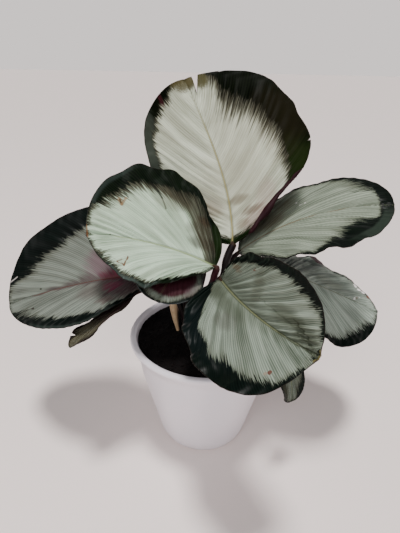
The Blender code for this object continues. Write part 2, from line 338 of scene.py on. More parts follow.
soil_black = new_finish("soil_black")
spot = position(soil_black)
clods = grain(spot, 260.0, 1.0, 4.0, 0.65)
fibre = grain(spot, 1100.0, 2.0)
peat = clods.ramp((0.30, (0.0012, 0.0008, 0.0009)), (0.62, (0.0042, 0.0026, 0.0026)),
                  (0.85, (0.016, 0.010, 0.008)))
paint(soil_black, {
    "Base Color": peat.tinted((0.034, 0.021, 0.015), fibre.rise(0.70, 0.78) * 0.5),
    "Roughness": clods * 0.3 + 0.68,
    "Normal": (clods + fibre * 0.4).bump(0.8, 0.0006),
    "Specular IOR Level": 0.12,
})
soil_outline = [(SOIL_RADIUS * (i / SOIL_RINGS) ** 0.8, crumbly) for i in range(SOIL_RINGS + 1)]
soil_outline += [(radius / MM, level / MM) for radius, level in SOIL_SIDE]
soil_mesh = turned("soil_bed", soil_outline, SOIL_TURNS)
show("soil_bed", soil_mesh, [soil_black], "soil_black", "soil")

draw = np.random.default_rng(7)
crumb_sheet = bmesh.new()
for i in range(CRUMBS):
    size = 0.00035 + 0.0011 * draw.random() ** 3
    angle = draw.random() * math.tau
    radius = (SOIL_RADIUS - 0.0016) * math.sqrt(draw.random())
    x = radius * math.cos(angle)
    y = radius * math.sin(angle)
    turn = Matrix.Rotation(draw.random() * math.tau, 4, draw.normal(size=3))
    shape = Matrix.Diagonal((*(size * draw.uniform(0.6, 1.2, 3)), 1.0))
    lie = Matrix.Translation((x, y, crumbly(x, y) + size * 0.25)) @ turn @ shape
    rounds = 1 if size < FINE_CRUMB else 2
    made = bmesh.ops.create_icosphere(crumb_sheet, subdivisions=rounds, radius=1.0)
    for vert in made["verts"]:
        rough = 1.0 + 0.35 * noise.noise(vert.co * 1.9 + Vector((i, 0.0, 0.0)))
        vert.co = lie @ (vert.co * rough)
show("soil_crumbs", mesh_of("soil_crumbs", crumb_sheet), [soil_black], "soil_black")

# --- Large leaf blades -------------------------------------------------------------------
# Six broad thin leaves of a silver-leaved calathea: silvery green above with fine darker
# pinstripes, a pale midrib and a feathered near-black margin, wine red below. Each grew flat
# and now folds up from its midrib, cups and ripples towards its margin.

# Lengths are in mm. An aim is heading, rise and roll in degrees, and bend is how much each
# changes along the midrib. Blunt is base then tip, a stalk's radius foot then top, foot and
# lean are along x and y, and the other pairs are left then right.
LEAVES = [
    dict(name="back", base=(20, 7, 182), aim=(87, 34, -24), bend=(56, 23, -1), length=165,
         reach=(61, 79), blunt=(0.63, 0.49), fold=(10, 11), cup=(5, 13),
         swell=((1, 2, -2, -1), (3, 3, -4, 0)), wave=((4, 1.6, -0.2), (5, 0.5, -2.1)),
         right_bulges=((0.62, 0.045, 0.055), (0.74, -0.016, 0.04)), foot=(0, 4),
         lean=(0.36, -0.05), climb=50, arrive=16, swerve=(-11, 0, -9), stalk=(2.3, 2.1),
         joint=3.1),
    dict(name="left_upper", base=(7, -6, 168), aim=(155, 17, -16), bend=(52, -5, -15), length=105,
         reach=(47, 58.5), blunt=(0.55, 0.44), fold=(16, 25), cup=(-16, 20),
         swell=((-1, -4, -1, 0), (-6, -6, -4, -3)), wave=((4, 1.6, -1.3), (5, 1.8, -1.5)),
         foot=(-10, 0), lean=(0.25, -0.05), climb=50, arrive=2, stalk=(2.2, 2), joint=2.8),
    dict(name="left_lower", base=(-39.5, 3, 156.5), aim=(168, -10, -20), bend=(21, -10, -8),
         length=135, reach=(52, 66), blunt=(0.55, 0.63), fold=(14, 17), cup=(1, 21),
         swell=((0, -3, -2, -1), (0, -1, -3, -1)), wave=((4, 0, 0), (4, 0.6, -0.1)),
         foot=(-15, 1.2), lean=(-0.05, 0), climb=50, arrive=20, stalk=(2.2, 1.7), joint=2.2),
    dict(name="right_upper", base=(26, 15.5, 172), aim=(-1, 41, 4), bend=(-16, -37, 10),
         length=124, reach=(51.5, 53), blunt=(0.6, 0.48), fold=(6, 6), cup=(-6, -10),
         swell=((0, 1, -2, 0), (-2, 0, -3, -1)), wave=((4, 0.6, 2), (5, 1.6, 1.9)), foot=(6, 8),
         lean=(0.05, 0.05), climb=45, arrive=16, stalk=(2, 1.5), joint=1.9),
    dict(name="right_lower", base=(46, 12.5, 164.5), aim=(5, -23, 8), bend=(-12, -1, 5),
         length=114, reach=(47, 53.5), blunt=(0.56, 0.5), fold=(-5, -5), cup=(-3, -13),
         swell=((2, -5, 4, 5), (-2, 1, 0, -1)), wave=((4, 1.6, 0.6), (4, 1, 0.9)), foot=(7, -1),
         lean=(0.2, 0.1), climb=45, arrive=22, stalk=(2, 1.6), joint=2),
    dict(name="front", base=(10.5, -16.5, 163), aim=(-71, -2, 37), bend=(15, 11, 2), length=111,
         reach=(41, 51), blunt=(0.46, 0.3), fold=(31, 21), cup=(19, -2),
         swell=((-1, 2, 1, 0), (1, 3, 2, 2)), wave=((4, 1.4, 0.7), (4, 2.4, -0.3)), foot=(1, -11),
         lean=(0.1, -0.02), climb=45, arrive=7, stalk=(2.2, 1.8), joint=2.2),
    dict(name="inner_small", base=(-4, 8, 162), aim=(223, 25, -28), bend=(29, -64, 5), length=61,
         reach=(23.5, 25.8), blunt=(0.63, 0.44), fold=(2, 5), cup=(-7, -3),
         swell=((0, -3, -2, -2), (-1, 1, -1, 1)), wave=((2, -1.2, -0.4), (2, 0.8, -0.3)),
         foot=(-9, 8), lean=(0.05, 0), climb=40, arrive=12, stalk=(1.7, 1.3), joint=1.6),
    dict(name="left_small", base=(-53.5, -15, 149.5), aim=(217, -22, 16), bend=(-1, -7, -8),
         length=65, reach=(11.5, 11.5), blunt=(0.59, 0.46), fold=(9, 8), cup=(3, 4),
         swell=((0, 0, 0, 0), (-2, 0, -1, 0)), wave=((2, 1.8, 1.6), (2, -2.4, 0)), foot=(-16, -5),
         lean=(-0.1, 0), climb=45, arrive=24, swerve=(0, 0, -5), stalk=(1.6, 1.2), joint=1.5),
    dict(name="right_small", base=(59.5, -43, 122), aim=(-45, -64, 7), bend=(-5, -22, 5),
         length=49, reach=(11.5, 12.5), blunt=(0.56, 0.45), fold=(13, 11), cup=(3, 2),
         swell=((0, 1, 0, -1), (0, -1, 0, 1)), wave=((2, 0, 0), (2, 2, -1.4)), foot=(7, -8.5),
         lean=(0.3, -0.1), climb=40, arrive=20, stalk=(1.5, 1.2), joint=1.5),
]
for leaf in LEAVES:
    for key in ("base", "length", "reach", "foot", "climb", "arrive", "swerve", "stalk", "joint"):
        leaf[key] = np.array(leaf.get(key, 0.0)) / MM

# How each blade's veins run: they leave the midrib at a share of its length and reach the
# margin further on. Then how its dark margin narrows on the left and on the right: where it
# starts between midrib and margin, along the leaf's length, both in hundredths.
VEINS = {
    "back": (0.75, 2.5, 1.15), "left_upper": (0.6, 3.8, 1.0), "left_lower": (0.9, 3.3, 1.3),
    "right_upper": (0.6, 4.2, 1.25), "right_lower": (1.0, 3.0, 1.25), "front": (0.6, 3.8, 1.1),
    "inner_small": (0.75, 3.0, 1.4), "left_small": (0.75, 3.5, 1.4),
    "right_small": (0.75, 3.5, 1.4),
}
MARGINS = {
    "back": (
        [(0, 85), (58, 86), (67, 88), (78, 90), (93, 90), (100, 86)], [(0, 70), (26, 68), (32, 74),
        (43, 72), (55, 76), (66, 76), (75, 74), (85, 75.5), (91, 72.5), (95, 74.5), (100, 78)]),
    "left_upper": (
        [(0, 80), (35, 79), (50, 88), (69, 94.5), (84, 96), (100, 96)], [(0, 5), (10, 20),
        (18, 34), (22, 50), (26, 70), (30, 77), (43, 82), (54, 79), (67, 78.5), (74, 83.5),
        (82, 86), (95, 88), (98, 92), (100, 98)]),
    "left_lower": (
        [(0, 70), (34, 80), (52, 79), (60, 83), (80, 87), (95, 92), (100, 96)], [(0, 80), (35, 80),
        (56, 78.5), (77, 73.5), (83, 77.5), (89, 78.5), (94.5, 82.5), (97.5, 90.5), (100, 96)]),
    "right_upper": (
        [(0, 92), (60, 95), (80, 93), (95, 90), (100, 88)], [(0, 92), (41, 96.5), (61, 91.8),
        (75, 84), (88, 77.5), (95, 80), (100, 83)]),
    "right_lower": (
        [(0, 93), (75, 95.5), (100, 97)], [(0, 93), (55, 91), (76, 88), (87, 85), (95, 86.5),
        (98.5, 76), (100, 60)]),
    "front": (
        [(0, 60), (20, 68), (39, 76), (64, 83), (78, 88), (90, 88.5), (95, 92), (100, 93)],
        [(0, 15), (20, 20), (33, 29), (39.5, 46), (41, 57), (51, 70), (64, 73), (69, 82), (83, 76),
        (88, 86), (95, 90), (100, 93)]),
    "inner_small": ([(0, 93), (100, 93)], [(0, 93), (100, 93)]),
    "left_small": ([(0, 92), (100, 92)], [(0, 45), (30, 60), (60, 90), (100, 92)]),
    "right_small": ([(0, 80), (100, 80)], [(0, 90), (100, 90)]),
}
# Creases pressed into a blade: from and to (along, across), depth and half width, in mm.
CREASES = {
    "back":
        [((154, 12), (129, 3.5), 2.2, 2.6), ((150, 6), (138, 2), -1.2, 1.6),
        ((11, -3), (33, -24), 1.2, 2.6), ((26, -5), (52, -30), 1.4, 3.2),
        ((30, 6), (56, 28), 1.2, 3), ((8, -12), (26, -34), -1, 2.4)],
    "left_upper":
        [((63.7, -48.2), (50.3, -30), 1.2, 1.2), ((18, -10), (42, -42), 2, 4),
        ((40, -22), (66, -48), -1.2, 3)],
    "front":
        [((52, 12), (98.2, 7.2), 0.5, 0.9), ((88, 10), (108, 2), 1.3, 1.4),
        ((90, 6), (109, -2), 1, 1.3), ((70, 4), (86, 16), 1.2, 2.2),
        ((50, -8), (78, -30), 1, 2.8)],
    "right_upper":
        [((20, 6), (64, 34), 1.4, 3.6), ((50, -6), (90, -30), 1.2, 3.4)],
    "left_lower":
        [((40, -6), (80, -40), 1.2, 3.4)],
    "right_lower":
        [((50, 6), (86, 26), 1.2, 3)],
}
BLADE_THICKNESS = 0.0006
RIB_DEPTH = 0.0018
GROOVE_DEPTH = 0.00035
GROOVE_WIDTH = 0.0016
PLEAT_COUNT = 17
PLEAT_HEIGHT = 0.00105
STRIPE_COUNT = 61
STRIPE_HEIGHT = 0.00007
RIPPLE_HEIGHT = 0.0004
CURL_TURN = math.radians(168)
RUFFLE_COUNT = 8.5
RUFFLE_HEIGHT = 0.0018
SMALL_LENGTH = 0.07
MIDRIB_STEPS = 64
FOLD_STEPS = 24
VEIN_HALVINGS = 36
LEAST_WIDTH = 0.012


def scale_of(leaf):
    """How deep a blade's relief is: small leaves have a finer one."""
    return 0.4 if leaf["length"] < SMALL_LENGTH else 1.0


def half_of(pair, side):
    """The left or the right one of a pair."""
    return pair[0] if side > 0 else pair[1]


def half_width(along, leaf, side):
    """Width of half of a blade, as a share of its greatest width, at a share of its length."""
    base_blunt, tip_blunt = leaf["blunt"]
    widest = base_blunt / (base_blunt + tip_blunt)
    along = np.clip(along, 1e-6, 1 - 1e-6)
    width = (along / widest) ** base_blunt * ((1 - along) / (1 - widest)) ** tip_blunt
    for order, swell in enumerate(half_of(leaf["swell"], side), start=2):
        width = width * (1 + swell / 100 * np.sin(order * np.pi * along))
    for place, size, spread in leaf.get("right_bulges", ()) if side < 0 else ():
        width = width * (1 + size * np.exp(-((along - place) / spread) ** 2))
    return width + LEAST_WIDTH


def midrib(leaf):
    """Points along the midrib, and the forward, left and up directions at each."""
    shares = np.arange(MIDRIB_STEPS + 1) / MIDRIB_STEPS
    heading, rise, roll = (np.radians(start + change * shares)[:, None]
                           for start, change in zip(leaf["aim"], leaf["bend"]))
    above = np.array([[0.0, 0.0, 1.0]])
    level = np.hstack([np.cos(heading), np.sin(heading), 0 * heading])
    forward = level * np.cos(rise) + above * np.sin(rise)
    across = np.hstack([-np.sin(heading), np.cos(heading), 0 * heading])
    over = np.cross(forward, across)
    left = across * np.cos(roll) + over * np.sin(roll)
    up = over * np.cos(roll) - across * np.sin(roll)
    steps = np.vstack([np.zeros((1, 3)), forward[:-1] * leaf["length"] / MIDRIB_STEPS])
    return leaf["base"] + np.cumsum(steps, axis=0), forward, left, up


def along_midrib(values, shares):
    """Values given along the midrib, at shares of its length."""
    spots = np.linspace(0, 1, len(values))
    return np.stack([np.interp(shares, spots, values[:, k]) for k in range(3)], -1)


def ease(value, start, end):
    """0 before start, 1 after end, smooth between."""
    share = np.clip((value - start) / (end - start), 0, 1)
    return share * share * (3 - 2 * share)


def back_curl(along, from_rib, full):
    """The low right margin of the back leaf rolls over towards its upper face."""
    wide = 0.0001 + 0.0085 * np.sin(np.pi * np.clip((along - 0.01) / 0.25, 0, 1)) ** 0.8
    roll = ease(along, 0.00, 0.05) * ease(along, 0.27, 0.22)
    return CURL_TURN * roll * ease(from_rib, full - wide, full - wide * 0.35)


def upper_ruffle(along, share, gap):
    """The far margin of the upper left leaf lifts in small folds."""
    fold = np.sin(math.tau * (along * RUFFLE_COUNT + 0.1)) * ease(along, 0.03, 0.12)
    fold = fold * ease(along, 0.95, 0.6)
    fold = np.where(fold > 0, fold, fold * 0.4)
    return np.where(share < 0, fold * RUFFLE_HEIGHT * ease(gap, 11, 0), 0.0)


def blade_face(leaf, along, out, side, curled=False):
    """Points of a blade's upper face: share along the midrib, share out to the margin, side."""
    place, _, left, up = midrib(leaf)
    reach = half_of(leaf["reach"], side)
    width = half_width(along, leaf, side)
    fold = math.radians(half_of(leaf["fold"], side))
    cup = math.radians(half_of(leaf["cup"], side))
    across = np.zeros_like(along)
    height = np.zeros_like(along)
    for i in range(FOLD_STEPS):
        share = (i + 0.5) / FOLD_STEPS * out
        angle = fold + cup * share * width
        if curled:
            angle = angle + back_curl(along, share * width * reach, width * reach)
        across += np.cos(angle) * reach * out * width / FOLD_STEPS
        height += np.sin(angle) * reach * out * width / FOLD_STEPS
    count, size, phase = half_of(leaf["wave"], side)
    fade = np.minimum(1, np.minimum(6 * along, 6 * (1 - along)))
    height += size / MM * out ** 3 * np.sin(math.tau * count * along + phase) * fade
    return (along_midrib(place, along) + along_midrib(left, along) * (side * across)[..., None]
            + along_midrib(up, along) * height[..., None])


def vein_through(leaf, along, lateral, side):
    """The vein through a point: where it leaves the midrib and ends, and how far out it is."""
    early, late, bend = VEINS[leaf["name"]]
    low = along.copy()
    high = np.ones_like(along)
    for _ in range(VEIN_HALVINGS):
        end = (low + high) / 2
        start = (1 - (1 - end) ** (1 / late)) ** (1 / early)
        out = np.minimum(lateral / half_width(end, leaf, side), 1)
        beyond = start + (end - start) * out ** bend > along
        high = np.where(beyond, end, high)
        low = np.where(beyond, low, end)
    return start, end, out


def crowded(count, crowding):
    """Shares from 0 to 1, crowded towards both ends."""
    step = np.arange(count + 1) / count
    return (1 - crowding) * step + crowding * (0.5 - 0.5 * np.cos(np.pi * step))


def half_blade(leaf, look, x, o, rim, side):
    """Half of a blade's upper face and its chart.

    The chart: vein's middle and share out, place along and across, distance inside the dark
    margin and to the edge in mm, share along and distance out from the midrib.
    """
    name = leaf["name"]
    reach = half_of(leaf["reach"], side)
    width = half_width(x, leaf, side)
    start, end, share = vein_through(leaf, x, o * width, side)
    face = blade_face(leaf, x, o, side, name == "back" and side < 0)
    margins = np.array(half_of(MARGINS[name], side)) / 100
    dark_start = np.interp(end, margins[:, 0], margins[:, 1])
    inner = (dark_start - share) * half_width(end, leaf, side) * reach * MM
    flat = np.stack([x * leaf["length"], side * o * width * reach], -1)
    gap = [np.sqrt(((row[:, None] - rim[None]) ** 2).sum(-1)).min(-1) for row in flat]
    gap = np.array(gap) * MM
    side_dark, tip_dark, *base_dark = (*look["dark_widths"], 0.0, 0.0)
    least = side_dark + (tip_dark - side_dark) * ease(x, 0.80, 0.97)
    least = least + half_of(base_dark, side) * ease(x, 0.13, 0.03)
    inner = np.minimum(inner, gap - least)
    tip_share = ease(end, 0.955, 0.99)
    inner = inner * (1 - tip_share) + (gap - least) * tip_share
    chart = np.stack([(start + end) / 2, side * share, flat[..., 0], flat[..., 1], inner, gap,
                      x, o * width * reach], -1)
    return (face, chart) if side > 0 else (face[:, :0:-1], chart[:, :0:-1])


def relief(leaf, look, chart):
    """How far a blade's upper face is lifted by pleats, stripes, ripples, groove and creases."""
    centre, share, gap, x, lateral = (chart[..., k] for k in (0, 1, 5, 6, 7))
    seed = look["seed"]
    size = scale_of(leaf)
    away = np.abs(share)
    pleat = np.sin(math.tau * (centre * PLEAT_COUNT + 0.35 * np.sin(centre * 23 + seed)))
    pleat = pleat * ease(away, 0.02, 0.20) * ease(away, 1.0, 0.72) * PLEAT_HEIGHT
    stripe = np.sin(math.tau * centre * STRIPE_COUNT + 2.0 * np.sin(centre * 41 + seed))
    stripe = stripe * STRIPE_HEIGHT * ease(away, 0.02, 0.08) * ease(away, 1.0, 0.93)
    ripple = np.sin(x * 71 + seed) * np.sin(x * 37 + 2 * seed) * RIPPLE_HEIGHT * ease(gap, 9, 0)
    groove = -GROOVE_DEPTH * np.exp(-(lateral / (GROOVE_WIDTH * (1 - 0.6 * x) * size)) ** 2)
    lift = size * (pleat + stripe + ripple + groove)
    if leaf["name"] == "left_upper":
        lift = lift + upper_ruffle(x, share, gap)
    for first, last, deep, wide in CREASES.get(leaf["name"], ()):
        first, run = np.array(first), np.subtract(last, first)
        way = chart[..., 2:4] * MM - first
        share_on = np.clip(way @ run / (run @ run), 0, 1)
        off = np.linalg.norm(way - share_on[..., None] * run, axis=-1)
        press = np.exp(-(off / wide) ** 2) * np.sin(math.pi * (0.15 + 0.7 * share_on))
        lift = lift - deep / MM * press
    return lift


def draw_chart(mesh, name, readings):
    """Write a chart's two readings at each point of a mesh."""
    corners = np.empty(len(mesh.loops), dtype=np.int32)
    mesh.loops.foreach_get("vertex_index", corners)
    layer = mesh.uv_layers.new(name=name)
    layer.data.foreach_set("uv", np.array(readings, np.float32)[corners].ravel())


def blade_mesh(leaf, look, rows, columns):
    """A blade as two fine sheets joined at the margin, with charts for its veins and margin."""
    along = crowded(rows, 0.65)
    x, o = np.meshgrid(along, crowded(columns, 0.5), indexing="ij")
    rim = np.concatenate([
        np.stack([along * leaf["length"],
                  side * half_width(along, leaf, side) * half_of(leaf["reach"], side)], -1)
        for side in (-1, 1)])
    halves = [half_blade(leaf, look, x, o, rim, side) for side in (-1, 1)]
    top, chart = (np.concatenate(parts, axis=1) for parts in zip(*halves))
    up = np.cross(np.gradient(top, axis=0), np.gradient(top, axis=1))
    up /= np.linalg.norm(up, axis=-1, keepdims=True) + 1e-12
    top = top + up * relief(leaf, look, chart)[..., None]
    gap, x, lateral = (chart[..., k] for k in (5, 6, 7))
    size = scale_of(leaf)
    rib_width = GROOVE_WIDTH * 1.1 * (1 - 0.6 * x) * size
    rib = RIB_DEPTH * size * (1 - 0.92 * x) * np.exp(-(lateral / rib_width) ** 2)
    thick = BLADE_THICKNESS * (0.55 + 0.45 * ease(gap, 0, 3.0)) + rib
    bottom = top - up * thick[..., None]

    spots = np.arange(gap.size).reshape(gap.shape)
    quads = np.stack([spots[:-1, :-1], spots[1:, :-1], spots[1:, 1:], spots[:-1, 1:]], -1)
    quads = quads.reshape(-1, 4)
    under = quads[:, [0, 3, 2, 1]] + gap.size
    around = np.array([*spots[0], *spots[1:, -1], *spots[-1, -2::-1], *spots[-2:0:-1, 0]])
    after = np.roll(around, -1)
    edge = np.stack([around, after, after + gap.size, around + gap.size], -1)
    places = np.concatenate([top.reshape(-1, 3), bottom.reshape(-1, 3)])
    faces = np.concatenate([quads, under, edge])
    mesh = bpy.data.meshes.new(leaf["name"] + "_blade")
    mesh.from_pydata(places.tolist(), [], faces.tolist())
    mesh.update()
    both = np.concatenate([chart.reshape(gap.size, -1)] * 2)
    for name, first in (("vein", 0), ("flat", 2), ("edge", 4)):
        draw_chart(mesh, name, both[:, first:first + 2])
    kinds = np.repeat([0, 1, 0], [len(quads), len(under), len(edge)]).astype(np.int32)
    mesh.polygons.foreach_set("material_index", kinds)
    return mesh


def chart_of(finish, name):
    """A chart's two readings at each point, as one place."""
    return Value.node(finish.node_tree, "UVMap", {"uv_map": name}, {})


def strands(centre, out, count, stretch, seed, detail=1.0, rough=0.5):
    """Noise drawn out along the veins, with about this many strands to the leaf's length."""
    values = {"X": centre * count, "Y": out * stretch, "Z": seed}
    place = Value.node(centre.tree, "CombineXYZ", {}, values)
    values = {"Vector": place, "Scale": 1.0, "Detail": detail, "Roughness": rough}
    return Value.node(centre.tree, "TexNoise", {}, values)


def patch(along, across, spot, blur, waver):
    """1 inside a round or oval spot of (along, across, half length, half width), all in mm."""
    way = (along - spot[0] / MM) * (MM / spot[2])
    aside = (across - spot[1] / MM) * (MM / spot[3])
    return (way * way + aside * aside + waver).rise(1.0 + blur, 1.0 - blur)


def thin_line(along, across, line):
    """1 on a thin line of (from along, from across, to along, to across, width), all in mm."""
    first, run = np.array(line[:2]) / MM, np.subtract(line[2:4], line[:2]) / MM
    slope = run / (run @ run)
    share = (along - first[0]) * slope[0] + (across - first[1]) * slope[1]
    share = share.maths("MINIMUM", 1.0).maths("MAXIMUM", 0.0)
    way = along - first[0] - share * run[0]
    aside = across - first[1] - share * run[1]
    return ((way * way + aside * aside) * (MM / line[4]) ** 2).rise(1.8, 0.4)


LINE_COUNT = 84
GLINT = (0.46, 0.48, 0.42)
STREAK = (0.006, 0.006, 0.003)
WIDEST_FRINGE = 40.0
LEFT_FRINGE = 3.0
FINE_RELIEF = 0.0004
DARK_OLIVE = (0.020, 0.015, 0.007)
PINK = (0.26, 0.13, 0.14)
CRIMSON = (0.070, 0.012, 0.020)
RUST = (0.13, 0.035, 0.014)
BARE_FLECK = (0.88, 0.84, 0.82)
# What a leaf looks like unless its own look says otherwise.
USUAL_LOOK = dict(
    lines=0.36, hairs=0.35, glints=0.25, heart_share=0, heart_reach=0.3, feather=2.8, fray=8.5,
    fringe=(0.06, 0.055, 0.03), fringe_widths=[(0, 4.5), (1, 4.5)], fringe_edge=1,
    fringe_share=0.35, streak_share=0.75, dark=(0.0006, 0.0014, 0.0011),
    dark_green=(0.0026, 0.0072, 0.005), rib_width=0.6, rib_shadow=(0.07, 0.085, 0.045),
    rib_shadow_share=0.45, rib_fade=0.72, rim=(0.01, 0.008, 0.006), rough=0.42, shine=0.07,
    flushes_and_painted_shade=[], greens_and_painted_sheens=[], marks=[], scratches_and_painted_light=[])


def upper_finish(leaf, look):
    """The upper face's paint: silver with pinstripes and bands of painted shade along the pleats,
    midrib, dark margin, marks.
    """
    look = {**USUAL_LOOK, "heart": look["shaded_silver"], **look}
    finish = new_finish(leaf["name"] + "_green")
    centre, out = chart_of(finish, "vein").split()
    flat = chart_of(finish, "flat")
    along, across = flat.split()
    inner, gap = chart_of(finish, "edge").split()
    length = leaf["length"]

    def fibres(count, stretch, number, detail=1.0, rough=0.5):
        return strands(centre, out, count, stretch, look["seed"] + number, detail, rough)

    broad = fibres(17, 0.9, 1)
    drift = fibres(9, 1.2, 9) * 1.6
    wander = fibres(42, 2.2, 2)
    lines = ((centre * LINE_COUNT + drift) * math.tau).maths("SINE") * 0.32 + 0.18 + wander * 0.64
    hairs = fibres(300, 3.0, 3, 2.0, 0.6)
    cloud = grain(flat, 38.0, look["seed"] + 4)
    mottle = grain(flat, 900.0, look["seed"] + 5)

    # The silver darkens in broad bands along the veins: painted shade of the pleats.
    silver = (broad * 0.75 + cloud * 0.25).ramp((0.36, look["shaded_silver"]), (0.57, look["silver"]))
    silver = silver.tinted(look["stripe"], lines.rise(0.50, 0.78) * look["lines"])
    silver = silver.tinted(look["stripe"], hairs.rise(0.50, 0.65) * look["hairs"])
    silver = silver.tinted(GLINT, lines.rise(0.44, 0.22) * look["glints"])
    if "heart_gap" in look:
        heart = (gap + (fibres(60, 1.5, 11, 2.0) - 0.5) * 3.0).rise(*look["heart_gap"])
    else:
        heart = out.maths("ABSOLUTE") + (fibres(40, 1.5, 11, 2.0) - 0.5) * 0.35
        heart = heart.rise(look["heart_reach"], look["heart_reach"] * 0.2)
    silver = silver.tinted(look["heart"], heart * look["heart_share"])
    waver = (fibres(70, 4.0, 6, 2.0) - 0.5) * 2.4
    # Flushes tint the silver; some are painted shade in folds and creases, and two are a painted
    # shadow of a neighbouring leaf.
    for *spot, tone, share in look["flushes_and_painted_shade"]:
        silver = silver.tinted(tone, patch(along, across, spot, 0.95, waver) * share)

    feather = (fibres(24, 0.9, 7) - 0.5) * look["feather"]
    feather = feather + (fibres(150, 3.2, 8, 2.0, 0.75) - 0.5) * look["fray"]
    feather = feather + (fibres(330, 12.0, 10) - 0.5) * look["fray"] * 0.8
    reach = inner + feather
    # A wide fringe can also stand as painted shade of a fold beside the margin, as on the upper
    # left leaf.
    widths = [(place, (width / WIDEST_FRINGE,) * 3) for place, width in look["fringe_widths"]]
    fringe_width = centre.ramp(*widths) * WIDEST_FRINGE * out.rise(0.02, -0.02)
    fringe_width = fringe_width + out.rise(-0.02, 0.02) * LEFT_FRINGE
    near = 1 - reach / fringe_width
    ragged = fibres(95, 1.6, 12, 2.0, 0.7) * 1.9 + cloud * 0.5 - 1.2
    fringe = (near - ragged).rise(0.0, look["fringe_edge"])
    fringe = fringe * (hairs * 0.6 + 0.68).maths("MINIMUM", 1.0)
    silver = silver.tinted(look["fringe"], fringe * look["fringe_share"])
    streaks = near.maths("MAXIMUM", 0.0) * 1.3 + fibres(150, 2.6, 14, 2.0, 0.7) * 2.4 - 2.12
    silver = silver.tinted(STREAK, streaks.rise(0.0, 0.40) * look["streak_share"])
    shade = (cloud * 0.5 + lines * 0.5).ramp((0.30, look["dark"]), (0.75, look["dark_green"]))
    waver = (cloud - 0.5) * 1.5 + (wander - 0.5) * 1.6
    # Greens tint the dark margin; some lighten it as a painted sheen where the margin catches the
    # light.
    for *spot, tone, share, inside in look["greens_and_painted_sheens"]:
        part = patch(along, across, spot, 0.8, waver) * gap.rise(inside + 1.5, inside - 1.0)
        shade = shade.tinted(tone, part * share)
    dark = reach.rise(0.45, -0.45)
    colour = silver.tinted(shade, dark)

    rib_width = look["rib_width"] / MM
    ratio = across.maths("ABSOLUTE") / (along * (-0.55 / length * rib_width) + rib_width)
    shadow = ratio.rise(1.0, 1.5) * ratio.rise(3.4, 2.0) * look["rib_shadow_share"]
    colour = colour.tinted(look["rib_shadow"], shadow)
    rib = ratio.rise(1.35, 0.75) * along.rise(length, length * look["rib_fade"])
    colour = colour.tinted(look["rib"], rib * 0.92)
    waver = (mottle - 0.5) * 2.2 + (cloud - 0.5) * 0.8
    for *spot, tone, share in look["marks"]:
        blur = spot[4] if len(spot) > 4 else 0.30
        colour = colour.tinted(tone, patch(along, across, spot, blur, waver) * share)
    # Scratches are thin lines: real scars, painted shade along creases, and a painted highlight on
    # a margin.
    for *line, tone, share in look["scratches_and_painted_light"]:
        colour = colour.tinted(tone, thin_line(along, across, line) * share)
    colour = colour.tinted(look["rim"], gap.rise(0.75, 0.3) * 0.8)
    grooves = (lines * 0.45 + hairs * 0.25 + broad * 0.5) * (1 - dark * 0.75) + mottle * 0.12
    paint(finish, {
        "Base Color": colour,
        "Roughness": mottle * 0.10 + lines * 0.08 + dark * -0.14 + look["rough"],
        "Normal": grooves.bump(0.55, FINE_RELIEF),
        "Specular IOR Level": look["shine"],
    })
    return finish


def under_finish(leaf):
    """The underside's paint: wine red, paler along the veins, with a green-brown midrib."""
    finish = new_finish(leaf["name"] + "_underside")
    centre, out = chart_of(finish, "vein").split()
    flat = chart_of(finish, "flat")
    along, across = flat.split()
    lines = strands(centre, out, 70, 1.3, 11.0, 2.0, 0.6)
    broad = strands(centre, out, 17, 0.9, 12.0)
    cloud = grain(flat, 60.0, 13.0)
    red = (broad * 0.5 + cloud * 0.5).ramp((0.30, (0.010, 0.0015, 0.0031)),
                                           (0.70, (0.027, 0.00405, 0.00837)))
    red = red.tinted((0.042, 0.011, 0.014), lines.rise(0.55, 0.68) * 0.5)
    rib_width = 1.6 / MM
    ratio = across.maths("ABSOLUTE") / (along * (-0.6 / leaf["length"] * rib_width) + rib_width)
    paint(finish, {
        "Base Color": red.tinted((0.045, 0.028, 0.016), ratio.rise(1.3, 0.7) * 0.75),
        "Roughness": cloud * 0.15 + lines * 0.1 + 0.42,
        "Normal": (lines * 0.5 + broad * 0.8).bump(0.5, FINE_RELIEF),
        "Specular IOR Level": 0.15,
    })
    return finish


# Tears: the side of the blade, then narrow wedges cut into it, each its apex and two mouth
# points as (share along, share out).
TEARS = {
    "back": (-1, [((0.905, 0.10), (0.984, 0.29), (0.984, 0.51)),
                  ((0.968, 0.90), (0.955, 1.03), (0.967, 1.04)),
                  ((0.383, 0.965), (0.372, 1.03), (0.400, 1.03))]),
    "left_small": (-1, [((0.863, 0.57), (0.885, 1.0), (0.915, 1.0))]),
}
TEAR_REACH = 1.8
TEAR_HALF_HEIGHT = 0.006


